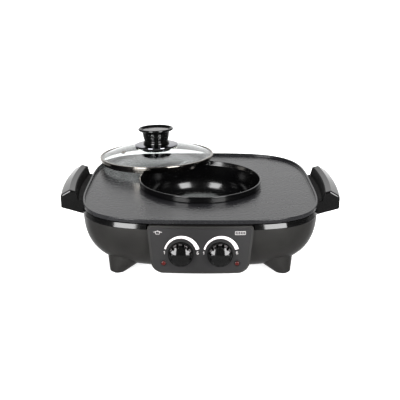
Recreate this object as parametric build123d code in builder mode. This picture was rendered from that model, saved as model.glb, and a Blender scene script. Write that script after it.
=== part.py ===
from build123d import *
from itertools import combinations
from math import cos, hypot, pi, radians, sin, sqrt
import os

# Countertop hot pot and grill: a grill plate with a round pot hung in its middle, a glass lid laid to
# the back left, and a bowl-shaped electric base with two dials. Millimetres, +X right, +Y away from
# the dials, +Z up. The origin is on the floor, midway between the dials' front and the lid's back.

# Fits shared by all pieces
rest_gap = 0.3          # under a loose piece, above what it rests on
fit_gap = 0.4           # round a piece that sits in a recess
hole_gap = 0.1          # radial, round a fixed screw or pin
run_gap = 0.05          # radial, round a turning shaft
overrun = 6.0           # how far a cutting shape runs past what it cuts

# Plan and level of the plate, which all the rest follows
plate_half_x = 200.0
plate_half_y = 193.0
plan_power = 3.8        # 2 would be an ellipse; more is squarer
plan_point_count = 48
body_y = -10.0          # centre of the body from the origin
lip_top = 106.0         # highest line of the plate above the floor

# Grill plate
lip_height = 5.0
lip_width = 3.5
plate_wall = 6.5        # outer wall that shows above the frame
plate_thickness = 6.0
plate_step = 7.0        # how far the seat under the plate is drawn in
pot_hole_gap = 0.6
surface_top = lip_top - lip_height
plate_under = surface_top - plate_thickness
wall_bottom = lip_top - plate_wall

# Upper frame, the glossy band under the plate
shadow_gap = 1.5
band_proud = 1.2
band_height = 8.5
frame_opening_gap = 1.0
ledge_width = 8.0
ledge_thickness = 3.7
frame_top = wall_bottom - shadow_gap
frame_bottom = frame_top - band_height
frame_opening_inset = plate_step - frame_opening_gap
ledge_inset = frame_opening_inset + ledge_width
ledge_top = plate_under - rest_gap
ledge_bottom = ledge_top - ledge_thickness

# Bowl
bowl_step = 1.5         # the bowl is drawn in this far under the band
bowl_wall = 2.8
bowl_bottom = 11.0
bowl_turn_in = 45.0     # how far the profile curls in from top to bottom
bowl_profile_power = 2.6
bowl_round_power_share = 2 / 3
bowl_level_shares = (0, 0.2, 0.4, 0.55, 0.7, 0.82, 0.91, 0.97, 1)
floor_ring = 26.0       # width of the bowl's floor round the cover's opening
bowl_inset = bowl_step - band_proud
floor_inset = bowl_inset + bowl_turn_in + floor_ring

# Bottom cover
cover_thickness = 1.2
cover_overlap = 8.0
cover_slot_length = 60.0
cover_slot_width = 4.0
cover_slot_pitch = 14.0
cover_slot_count = 7
cover_slot_y = 78.0
cover_screw_radius = 1.6
cover_screw_head_radius = 3.2
cover_screw_head_height = 1.5
cover_screw_reach = 4.4
cover_screw_every = 6       # of the plan's points

# Pot
pot_radius = 106.0
pot_wall = 1.6
pot_base_thickness = 3.0
pot_bottom = 34.0
pot_corner = 46.0
pot_rim_height = 6.4    # above the plate's lip
pot_rim_radius = 110.0
pot_collar_radius = 108.6
pot_mouth_radius = 107.0
pot_bead = 2.4          # depth of the rolled edge
pot_bead_round = 0.7
pot_flare_depth = 8.0   # from the rim down to where the wall stands upright
pot_y = 6.0             # centre of the pot behind the plate's centre
pot_top = lip_top + pot_rim_height
pot_seat = surface_top + rest_gap
pot_floor = pot_bottom + pot_base_thickness
pot_inner_radius = pot_radius - pot_wall
pot_inner_corner = pot_corner - pot_wall

# Lid, measured from its lower edge
lid_x = -85.0
lid_y = 131.0
lid_edge_radius = 106.3
lid_band_radius = 111.0
lid_neck_radius = 107.2
lid_neck_height = 5.4
lid_band_foot = 5.9
lid_ring_height = 11.4
lid_sheet = 0.9
lid_flange = 3.2
lid_band_round = 1.0
glass_edge_radius = 109.8
glass_dome_edge = 105.4
glass_rise = 20.0
glass_thickness = 4.0
vent_x = -62.0
vent_y = -28.0
vent_radius = 5.0
vent_neck_radius = 3.4
vent_hole_radius = 1.6
vent_flange_height = 1.0
knob_screw_radius = 2.5
knob_screw_head_radius = 4.5
knob_screw_head_height = 3.0
knob_screw_reach = 16.0
lid_washer_radius = 27.5
lid_washer_thickness = 7.0
lid_washer_gap = 1.5        # under the middle of the glass, which curves down to the washer's edge
escutcheon_radius = 42.0
escutcheon_foot_drop = 3.0  # below the top of the glass
escutcheon_rise = 2.0       # of its crown above the glass
escutcheon_crown_radius = 24.0
escutcheon_mid_radius = 34.0
escutcheon_mid_drop = 0.4
escutcheon_edge_drop = 1.8  # below its crown
escutcheon_sheet = 1.0

# Lid knob: heights above the escutcheon's crown
knob_base_radius = 24.6
knob_bulge_radius = 25.6
knob_bulge_height = 1.6
knob_waist_radius = 23.2
knob_waist_height = 7.0
knob_neck_radius = 24.7
knob_neck_height = 11.4
knob_flare_radius = 25.8
knob_flare_height = 17.0
knob_under_radius = 27.4
knob_under_height = 24.0
knob_dish_radius = 34.2
knob_dish_height = 30.8
knob_dish_edge = 4.4
knob_dish_wall = 3.2
knob_dish_depth = 4.2
insert_radius = 29.0
insert_thickness = 1.2

# Handles: a curved bar whose section is drawn at its middle, from the body's centre line
handle_y = -8.0
handle_half_length = 76.0
handle_bend_radius = 562.0
handle_outer_x = 242.0
handle_ridge_x = 226.0
handle_wall_top_x = 215.5
handle_wall_foot_x = 212.0
handle_ledge_drop = 8.8     # ledge below the plate's lip
handle_ledge_slope = 2.5
handle_wall_rise = 8.5
handle_ridge_rise = 11.5
handle_shoulder_rise = 2.0
handle_side_drop = 20.5
handle_root_drop = 31.5
handle_outer_round = 8.0
handle_end_round = 2.5
handle_sweep = 12.0         # degrees each way, more than the length needs
handle_bury = 12.0          # how far the bar's root runs in before it is cut to the body
handle_screw_y = 46.0
handle_screw_drop = 20.7
handle_screw_bury = 3.6     # head's seat inside the bowl's outer face
handle_screw_radius = 1.8
handle_screw_head_radius = 3.5
handle_screw_head_height = 2.2
handle_screw_length = 14.0

# Control panel: a tilted face that bulges a little in plan
panel_reach = 205.0         # its middle in front of the body's centre
panel_height = 54.5         # height of the dials' axes above the floor
panel_tilt = 8.0            # degrees, top leaning back
panel_bend_radius = 800.0
fascia_up = 39.3            # from the dials' axes to the top edge
fascia_down = 28.7
fascia_half_top = 79.4
fascia_half_bottom = 72.0
fascia_top_round = 2.5
fascia_bottom_round = 16.0
fascia_thickness = 2.5
bezel = 3.6                 # dark surround round the fascia
bezel_setback = 0.8
bezel_shelf = 2.0           # ledge behind the fascia's edge
box_depth = 46.0
box_top_back = 187.2        # back of the box's upper part, in front of the body's centre
box_shoulder = 21.0         # height from the dials' axes to the top of the deep part
box_wall = 2.4
fascia_recess_reach = 24.0

# Dials: heights above the panel's middle line
dial_spacing = 61.0
dial_gap = 0.6              # behind the skirt, where the panel bulges most
dial_radius = 19.8
dial_skirt = 2.0
dial_waist_radius = 18.7
dial_front_radius = 16.2
dial_shoulder = 12.6
dial_depth = 16.4
dial_flute_count = 12
dial_flute_width = 3.6
dial_flute_reach = 13.8     # inner end of a flute from the dial's axis
dial_flute_angle = 16.0     # of one flute from the right, anticlockwise
dial_pointer_length = 6.0
dial_pointer_width = 1.4
dial_pointer_reach = 9.0
dial_pointer_cut = 1.7      # below the dome's top
dial_off_angle = 225.0      # where the pointer rests, from the right, anticlockwise
dial_hollow_radius = 11.5
dial_hollow_depth = 8.0
dial_hub_radius = 6.0
shaft_radius = 3.0
shaft_flat = 1.0
shaft_reach = 9.0           # in front of the panel
shaft_hole_gap = 0.6

# Lamps
lamp_x = 57.0
lamp_down = 14.8
lamp_radius = 3.4
lamp_bezel_radius = 4.8
lamp_seat = 0.9             # depth of the bezel's pocket
lamp_bezel_proud = 0.8
lamp_proud = 1.8
lamp_round = 1.0
lamp_body_length = 14.0

# Thermostats and their bracket, which stands on the fascia's bosses
bracket_back = 9.0          # its face behind the panel's middle line
bracket_thickness = 1.5
bracket_half_width = 51.5
bracket_half_height = 15.0
bracket_corner = 3.0
boss_x = 47.0
boss_up = 10.5
boss_radius = 3.0
bracket_screw_radius = 1.3
bracket_screw_head_radius = 2.5
bracket_screw_head_height = 1.4
bracket_screw_bite = 4.0
thermostat_width = 25.0
thermostat_height = 24.0
thermostat_corner = 2.0
thermostat_depth = 15.0
thermostat_collar_radius = 4.6
thermostat_collar_length = 4.0
thermostat_tab_width = 6.0
thermostat_tab_length = 7.0
thermostat_tab_thickness = 0.8
shaft_end = 19.0            # inner end of a shaft behind the panel's middle line

# Grill heating loop, its ends, supports and reflector
tube_radius = 3.5
loop_half_x = 150.0
loop_box_gap = 21.0         # between the loop's front run and the control box
loop_half_y = panel_reach - box_depth - loop_box_gap
loop_corner = 70.0
loop_end_x = 26.0
leg_turn = 8.0
leg_drop = 20.0
bush_radius = 5.5
bush_length = 12.0
bush_rise = 3.0             # above the reflector's floor
support_width = 10.0
support_wall = 3.0
support_y = 45.0
reflector_sheet = 1.0
reflector_inset = 24.0
reflector_flange_inset = 10.0
reflector_depth = 12.0
reflector_hole_gap = 6.5    # round the pot
reflector_rim = 8.0

# Pot heater
ring_radius = 62.0
ring_gap_angle = 24.0       # between the ring's two ends
ring_leg_turn = 4.5
ring_leg_drop = 7.0
pan_radius = 88.0
pan_sheet = 1.0
pan_depth = 9.0
pan_round = 2.0
pan_gap = 2.0               # between the ring and the pan
standoff_radius = 4.0
standoff_spot_radius = 76.0
standoff_count = 3
sensor_radius = 8.0
sensor_height = 4.0
sensor_round = 1.0
sensor_stem_radius = 4.0

# Mains entry, terminal block and wires
inlet_x = 70.0
inlet_height = 58.0
inlet_width = 27.0
inlet_tall = 20.0
inlet_flange = 4.0
inlet_flange_reach = 192.5  # its face behind the body's centre
inlet_flange_thickness = 8.0
inlet_round = 3.0
inlet_depth = 24.0
inlet_wall = 2.0
inlet_recess = 16.0
inlet_pin_radius = 2.0
inlet_pin_spread = 6.5
inlet_pin_rise = 2.0
inlet_pin_length = 11.0
inlet_pin_tail = 7.0
block_width = 36.0
block_depth = 16.0
block_height = 14.0
block_round = 1.5
block_gap = 16.0            # between the pot heater's pan and the block
block_y = pan_radius + block_gap + block_depth / 2
block_screw_radius = 2.4
block_screw_height = 1.0
block_screw_count = 3
wire_radius = 1.3
wire_bend = 6.0
wire_level = 31.0
wire_out = 122.0            # how far the wires keep from the pot's middle
wire_turn_y = 96.0
wire_gap = 6.0

# Feet: round at the floor, flaring up and inwards into the bowl
foot_x = 135.0
foot_y = 149.0
foot_radius = 13.0
foot_reach = 40.0           # height over which it flares, most of it cut by the bowl
foot_lean = 30.0            # how far its top is moved inwards, on both sides
foot_top_radius = 51.0
foot_round = 2.0
pad_thickness = 3.0
pad_radius = 9.5
pad_round = 0.6
pad_sink = 1.2


def level(height, x=0.0, y=0.0):
    """Horizontal plane at a height, measured from the body's centre line."""
    return Plane((x, body_y + y, height))


def plan_outline(inset):
    """Points of the body's rounded square plan, drawn in by inset on every side."""
    half_x = plate_half_x - inset
    half_y = plate_half_y - inset
    points = []
    for step in range(plan_point_count):
        angle = 2 * pi * step / plan_point_count
        reach = (abs(cos(angle) / half_x) ** plan_power + abs(sin(angle) / half_y) ** plan_power)
        reach = reach ** (-1 / plan_power)
        points.append((reach * cos(angle), reach * sin(angle)))
    return points


def plan_sketch(height, inset):
    """The same plan as a face at a height."""
    with BuildSketch(level(height)) as plan:
        with BuildLine():
            Spline(*plan_outline(inset), periodic=True)
        make_face()
    return plan.sketch


def bowl_sections(wall):
    """Faces of the bowl's outer form (wall 0) or of its hollow, from the top down."""
    drop = frame_bottom - bowl_bottom - wall
    faces = []
    for share in bowl_level_shares:
        curl = 1 - (1 - share ** bowl_profile_power) ** bowl_round_power_share
        faces.append(plan_sketch(frame_bottom - share * drop, bowl_inset + wall + bowl_turn_in * curl))
    return faces


def upright(x=0.0, y=0.0):
    """Vertical axis through a place measured from the body's centre."""
    return Axis((x, body_y + y, 0), (0, 0, 1))


# Planes of the control panel: its tilted face, and the one across it that holds the bulge
tilt = radians(panel_tilt)
panel = Plane((0, body_y - panel_reach, panel_height), x_dir=(1, 0, 0), z_dir=(0, -cos(tilt), sin(tilt)))


def on_panel(x, up, out):
    """Plane parallel to the panel, out from its middle line by out."""
    return Plane(panel.from_local_coords((x, up, out)), x_dir=panel.x_dir, z_dir=panel.z_dir)


def across_panel(x, up=0.0):
    """Plane that holds the panel's normal at x: local X to the right, local Y outwards."""
    return Plane(panel.from_local_coords((x, up, 0)), x_dir=panel.x_dir, z_dir=-panel.y_dir)


def panel_sag(x):
    """How far the bulging face has fallen back at x."""
    return panel_bend_radius - sqrt(panel_bend_radius ** 2 - x ** 2)


dial_back = dial_gap - panel_sag(dial_spacing / 2 - dial_radius)
dial_dome_rise = dial_depth - dial_shoulder
dial_dome_radius = (dial_front_radius ** 2 + dial_dome_rise ** 2) / (2 * dial_dome_rise)


def panel_bulge(setback):
    """Thick cylinder, bounded in front by the panel's bulging face set back by setback."""
    with BuildPart() as bulge:
        with BuildSketch(across_panel(0, -2 * fascia_up)):
            with Locations((0, -panel_bend_radius)):
                Circle(panel_bend_radius - setback)
        extrude(amount=-4 * fascia_up)
    return bulge.part


def panel_outline(grow):
    """The fascia's outline, grown by grow, as a face in front of the panel."""
    half_top = fascia_half_top + grow
    half_bottom = fascia_half_bottom + grow
    top = fascia_up + grow
    bottom = -fascia_down - grow
    with BuildSketch(on_panel(0, 0, overrun)) as outline:
        with BuildLine():
            Polyline((-half_top, top), (-half_bottom, bottom), (half_bottom, bottom), (half_top, top),
                     close=True)
        make_face()
        fillet(outline.vertices().group_by(Axis.Y)[-1], fascia_top_round + max(grow, 0))
        fillet(outline.vertices().group_by(Axis.Y)[0], fascia_bottom_round + grow)
    return outline.sketch


def panel_block(grow, depth, setback, wall):
    """Outline pushed straight back, bulging in front, and cut away above the shoulder.

    The block inside another one, less its wall, has its own depth and setback.
    """
    with BuildPart() as block:
        extrude(panel_outline(grow), amount=depth + overrun, dir=(0, 1, 0))
        add(panel_bulge(setback), mode=Mode.INTERSECT)
        with BuildSketch(level(panel_height + box_shoulder - wall, 0, -box_top_back - wall + depth)):
            Rectangle(4 * fascia_half_top, 2 * depth)
        extrude(amount=2 * fascia_up, mode=Mode.SUBTRACT)
    return block.part


def crossings(radius, centre, inside):
    """Points of a circle where inside(x, y) changes sign, found by halving."""
    found = []
    for degree in range(360):
        low, high = radians(degree), radians(degree + 1)
        start = inside(centre[0] + radius * cos(low), centre[1] + radius * sin(low))
        end = inside(centre[0] + radius * cos(high), centre[1] + radius * sin(high))
        if start == end:
            continue
        for _ in range(24):
            middle = (low + high) / 2
            if inside(centre[0] + radius * cos(middle), centre[1] + radius * sin(middle)) == start:
                low = middle
            else:
                high = middle
        found.append((centre[0] + radius * cos(low), centre[1] + radius * sin(low)))
    return found


def inside_plan(inset):
    """Test for places inside the body's plan, drawn in by inset."""
    half_x = plate_half_x - inset
    half_y = plate_half_y - inset
    return lambda x, y: abs(x / half_x) ** plan_power + abs(y / half_y) ** plan_power < 1


def inside_pot(radius):
    """Test for places within a radius of the pot's axis."""
    return lambda x, y: hypot(x, y - pot_y) < radius


def lid_resting_plane():
    """Plane of the lid's lower edge as it leans on the pot's rim and the plate's lip.

    Of the places where it passes over the edges of both, it is laid on two of the rim that lie
    wide apart and one of the lip or, without such three, on the three that let its centre lie
    lowest.
    """
    touches = []
    for height, inside in (
        (lip_top, inside_plan(0.0)), (lip_top, inside_plan(lip_width)),
        (pot_top, inside_pot(pot_rim_radius)), (pot_top, inside_pot(pot_mouth_radius)),
    ):
        for x, y in crossings(lid_edge_radius, (lid_x, lid_y), inside):
            touches.append(Vector(x, y, height + rest_gap))
    best = None
    for first, second, third in combinations(touches, 3):
        normal = (second - first).cross(third - first).normalized()
        if normal.Z < 0:
            normal = -normal
        clear = all((point - first).dot(normal) < rest_gap / 100 for point in touches)
        height = first.Z - (normal.X * (lid_x - first.X) + normal.Y * (lid_y - first.Y)) / normal.Z
        rim = [point for point in (first, second, third) if point.Z > lip_top + pot_rim_height / 2]
        wide = len(rim) == 2 and (rim[1] - rim[0]).length > pot_radius
        if clear and (best is None or (not wide, height) < best[0]):
            best = ((not wide, height), normal)
    (_, height), normal = best
    return Plane((lid_x, body_y + lid_y, height), x_dir=(normal.Z, 0, -normal.X), z_dir=normal)


lid_plane = lid_resting_plane()
lid_upright = Plane(lid_plane.origin, x_dir=lid_plane.x_dir, z_dir=-lid_plane.y_dir)
lid_axis = Axis(lid_plane.origin, lid_plane.z_dir)
glass_top = lid_ring_height + glass_rise
glass_radius = (glass_dome_edge ** 2 + glass_rise ** 2) / (2 * glass_rise)
glass_foot = lid_ring_height - glass_thickness
lid_band_top = lid_ring_height + lid_sheet
escutcheon_foot = glass_top - escutcheon_foot_drop
crown_height = glass_top + escutcheon_rise
washer_foot = glass_top - glass_thickness - lid_washer_gap - lid_washer_thickness


def lid_level(height):
    """Plane across the lid at a height above its lower edge."""
    return Plane(lid_plane.from_local_coords((0, 0, height)), x_dir=lid_plane.x_dir, z_dir=lid_plane.z_dir)


def glass_plane(x, y):
    """Plane that touches the top of the glass above a place on the lid."""
    up = sqrt(glass_radius ** 2 - x ** 2 - y ** 2)
    place = lid_plane.from_local_coords((x, y, glass_top - glass_radius + up))
    return Plane(place, z_dir=lid_plane.from_local_coords((x, y, up)) - lid_plane.origin)


vent_plane = glass_plane(vent_x, vent_y)
loop_height = plate_under - rest_gap - tube_radius
leg_x = loop_end_x - leg_turn
reflector_floor = ledge_bottom - reflector_depth + reflector_sheet
ring_height = pot_bottom - rest_gap - tube_radius
pan_floor = ring_height - tube_radius - pan_gap
socket_place = (inlet_x, body_y + inlet_flange_reach, inlet_height)
socket_plane = Plane(socket_place, x_dir=(-1, 0, 0), z_dir=(0, 1, 0))
pin_spots = [(0, inlet_pin_rise), (-inlet_pin_spread, -inlet_pin_rise), (inlet_pin_spread, -inlet_pin_rise)]
cover_screw_spots = [
    Location((x, body_y + y, bowl_bottom - cover_thickness))
    for x, y in plan_outline(floor_inset - cover_overlap / 2)[cover_screw_every // 2::cover_screw_every]
]


def handle_screw_place(side, along):
    """Place of a handle screw's head, its local Z pointing out of the body."""
    reach = plate_half_x - bowl_inset - handle_screw_bury
    place = (side * reach, body_y + handle_y + along, lip_top - handle_screw_drop)
    return Location(Plane(place, z_dir=(side, 0, 0)))


upward = (Align.CENTER, Align.CENTER, Align.MIN)
downward = (Align.CENTER, Align.CENTER, Align.MAX)

# Outer forms that other pieces are cut to
with BuildPart() as bowl_form:
    loft(bowl_sections(0.0))

with BuildPart() as band_form:
    extrude(plan_sketch(frame_bottom, -band_proud), amount=band_height + overrun)

box_form = panel_block(bezel, box_depth, 0.0, 0.0)

# Grill plate: flat cooking surface in a low lip, with a drawn-in seat below and the pot's opening
with BuildPart() as grill_plate:
    extrude(plan_sketch(wall_bottom, 0.0), amount=plate_wall)
    extrude(plan_sketch(plate_under, plate_step), amount=wall_bottom - plate_under)
    extrude(plan_sketch(surface_top, lip_width), amount=lip_height + overrun, mode=Mode.SUBTRACT)
    with BuildSketch(level(plate_under - overrun, 0, pot_y)):
        Circle(pot_radius + pot_hole_gap)
    extrude(amount=plate_thickness + 2 * overrun, mode=Mode.SUBTRACT)

# Upper frame: glossy band with the ledge that carries the plate
with BuildPart() as upper_frame:
    extrude(plan_sketch(frame_bottom, -band_proud), amount=band_height)
    extrude(plan_sketch(frame_bottom - overrun, ledge_inset), amount=2 * band_height, mode=Mode.SUBTRACT)
    extrude(plan_sketch(ledge_top, frame_opening_inset), amount=band_height, mode=Mode.SUBTRACT)
    extrude(plan_sketch(frame_bottom - overrun, frame_opening_inset),
            amount=ledge_bottom - frame_bottom + overrun, mode=Mode.SUBTRACT)
    add(box_form, mode=Mode.SUBTRACT)

# Bowl: the base's outer shell, open at the top, round the bottom cover and behind the control box
with BuildPart() as base_bowl:
    add(bowl_form.part)
    with BuildPart(mode=Mode.PRIVATE) as bowl_hollow:
        loft(bowl_sections(bowl_wall))
    add(bowl_hollow.part, mode=Mode.SUBTRACT)
    extrude(plan_sketch(bowl_bottom, floor_inset), amount=2 * bowl_wall, mode=Mode.SUBTRACT)
    add(box_form, mode=Mode.SUBTRACT)
    with BuildSketch(socket_plane):
        Rectangle(inlet_width, inlet_tall)
    extrude(amount=-inlet_depth, mode=Mode.SUBTRACT)
    with Locations(*cover_screw_spots):
        Cylinder(cover_screw_radius + hole_gap, 2 * cover_screw_reach, mode=Mode.SUBTRACT)
    for side in (-1, 1):
        for along in (-handle_screw_y, handle_screw_y):
            with Locations(handle_screw_place(side, along)):
                Cylinder(handle_screw_radius + hole_gap, 2 * handle_screw_length, mode=Mode.SUBTRACT)

# Bottom cover with vent slots
with BuildPart() as bottom_cover:
    extrude(plan_sketch(bowl_bottom - cover_thickness, floor_inset - cover_overlap), amount=cover_thickness)
    with BuildSketch(level(bowl_bottom - cover_thickness - overrun)):
        for row_y in (-cover_slot_y, cover_slot_y):
            with Locations((0, row_y)):
                with GridLocations(cover_slot_pitch, 0, cover_slot_count, 1):
                    SlotOverall(cover_slot_length, cover_slot_width, rotation=90)
    extrude(amount=cover_thickness + 2 * overrun, mode=Mode.SUBTRACT)
    with Locations(*cover_screw_spots):
        Cylinder(cover_screw_radius + hole_gap, 2 * cover_screw_reach, mode=Mode.SUBTRACT)

with BuildPart() as cover_screws:
    with Locations(*cover_screw_spots):
        Cylinder(cover_screw_radius, cover_screw_reach, align=upward)
        Cylinder(cover_screw_head_radius, cover_screw_head_height, align=downward)

# Feet and their rubber pads, cut to the bowl they hang from
feet = {}
pads = {}
foot_bottom = pad_thickness - pad_sink
for end, back in (("front", -1), ("back", 1)):
    for side, right in (("left", -1), ("right", 1)):
        foot_spot = (right * foot_x, back * foot_y)
        top_spot = (right * (foot_x - foot_lean), back * (foot_y - foot_lean))
        with BuildPart() as foot:
            with BuildSketch(level(foot_bottom, *foot_spot)):
                Circle(foot_radius)
            with BuildSketch(level(foot_bottom + foot_reach, *top_spot)):
                Circle(foot_top_radius)
            loft()
            fillet(foot.edges().group_by(Axis.Z)[0], foot_round)
            with BuildSketch(level(foot_bottom, *foot_spot)):
                Circle(pad_radius)
            extrude(amount=pad_sink, mode=Mode.SUBTRACT)
            add(bowl_form.part, mode=Mode.SUBTRACT)
        feet["foot_" + end + "_" + side] = foot.part
        with BuildPart() as pad:
            with BuildSketch(level(0, *foot_spot)):
                Circle(pad_radius)
            extrude(amount=pad_thickness)
            chamfer(pad.edges().group_by(Axis.Z)[0], pad_round)
        pads["pad_" + end + "_" + side] = pad.part

# Handles: a curved bar cut to the band and the bowl, and its mirror image
pivot_x = handle_outer_x - handle_bend_radius
bend = radians(handle_sweep)
bar_start = (cos(bend), -sin(bend), 0)
bar_plane = Plane((pivot_x, body_y, 0), x_dir=bar_start, z_dir=(-sin(bend), -cos(bend), 0))
handle_section = [
    (plate_half_x - handle_bury, lip_top - handle_ledge_drop),
    (handle_wall_foot_x, lip_top - handle_ledge_drop + handle_ledge_slope),
    (handle_wall_top_x, lip_top + handle_wall_rise),
    (handle_ridge_x, lip_top + handle_ridge_rise),
    (handle_outer_x, lip_top + handle_shoulder_rise),
    (handle_outer_x, lip_top - handle_side_drop),
    (plate_half_x + band_proud, lip_top - handle_root_drop),
    (plate_half_x - handle_bury, lip_top - handle_root_drop),
]
with BuildPart() as handle_bar:
    with BuildSketch(bar_plane) as bar_section:
        with BuildLine():
            Polyline(*[(x - pivot_x, height) for x, height in handle_section], close=True)
        make_face()
        fillet(bar_section.vertices().group_by(Axis.X)[-1].sort_by(Axis.Y)[0], handle_outer_round)
    revolve(axis=Axis((pivot_x, body_y, 0), (0, 0, 1)), revolution_arc=2 * handle_sweep)
    split(bisect_by=Plane((0, body_y + handle_y + handle_half_length, 0), z_dir=(0, -1, 0)))
    split(bisect_by=Plane((0, body_y + handle_y - handle_half_length, 0), z_dir=(0, 1, 0)))
    ends = handle_bar.faces().filter_by(Axis.Y)
    fillet(ends.edges(), handle_end_round)

handles = {}
for name, side in (("handle_left", -1), ("handle_right", 1)):
    with BuildPart() as handle:
        if side > 0:
            add(handle_bar.part)
        else:
            mirror(handle_bar.part, about=Plane.YZ)
        add(band_form.part, mode=Mode.SUBTRACT)
        add(bowl_form.part, mode=Mode.SUBTRACT)
        for along in (-handle_screw_y, handle_screw_y):
            with Locations(handle_screw_place(side, along)):
                Cylinder(handle_screw_radius, 2 * handle_screw_length, mode=Mode.SUBTRACT)
    handles[name] = handle.part

with BuildPart() as handle_screws:
    for side in (-1, 1):
        for along in (-handle_screw_y, handle_screw_y):
            with Locations(handle_screw_place(side, along)):
                Cylinder(handle_screw_radius, handle_screw_length, align=upward)
                Cylinder(handle_screw_head_radius, handle_screw_head_height, align=downward)

# Control box: a dark surround, open at the back, with a ledge round the fascia
with BuildPart() as control_box:
    add(panel_block(bezel, box_depth, bezel_setback, 0.0))
    with BuildPart(mode=Mode.PRIVATE) as fascia_recess:
        extrude(panel_outline(0.0), amount=fascia_recess_reach, dir=(0, 1, 0))
        add(panel_bulge(fascia_thickness), mode=Mode.SUBTRACT)
    add(fascia_recess.part, mode=Mode.SUBTRACT)
    with BuildPart(mode=Mode.PRIVATE) as fascia_window:
        extrude(panel_outline(-bezel_shelf), amount=fascia_recess_reach, dir=(0, 1, 0))
    add(fascia_window.part, mode=Mode.SUBTRACT)
    add(panel_block(bezel - box_wall, box_depth + overrun, fascia_thickness + box_wall, box_wall),
        mode=Mode.SUBTRACT)

# Fascia: curved grey panel with bosses behind it for the bracket
with BuildPart() as control_fascia:
    extrude(panel_outline(0.0), amount=fascia_recess_reach, dir=(0, 1, 0))
    add(panel_bulge(0.0), mode=Mode.INTERSECT)
    add(panel_bulge(fascia_thickness), mode=Mode.SUBTRACT)
    for x in (-boss_x, boss_x):
        for up in (-boss_up, boss_up):
            with BuildSketch(on_panel(x, up, -bracket_back)):
                Circle(boss_radius)
            extrude(amount=bracket_back - panel_sag(x) - fascia_thickness / 2)
    for x in (-dial_spacing / 2, dial_spacing / 2):
        with BuildSketch(on_panel(x, 0, overrun)):
            Circle(shaft_radius + shaft_hole_gap)
        extrude(amount=-bracket_back - overrun, mode=Mode.SUBTRACT)
    for x in (-lamp_x, lamp_x):
        with BuildSketch(on_panel(x, -lamp_down, overrun)):
            Circle(lamp_radius)
        extrude(amount=-bracket_back - overrun, mode=Mode.SUBTRACT)
        with BuildSketch(on_panel(x, -lamp_down, overrun)):
            Circle(lamp_bezel_radius)
        extrude(amount=-overrun - panel_sag(x) - lamp_seat, mode=Mode.SUBTRACT)
    for x in (-boss_x, boss_x):
        for up in (-boss_up, boss_up):
            with BuildSketch(on_panel(x, up, -bracket_back)):
                Circle(bracket_screw_radius)
            extrude(amount=bracket_screw_bite, mode=Mode.SUBTRACT)

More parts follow.
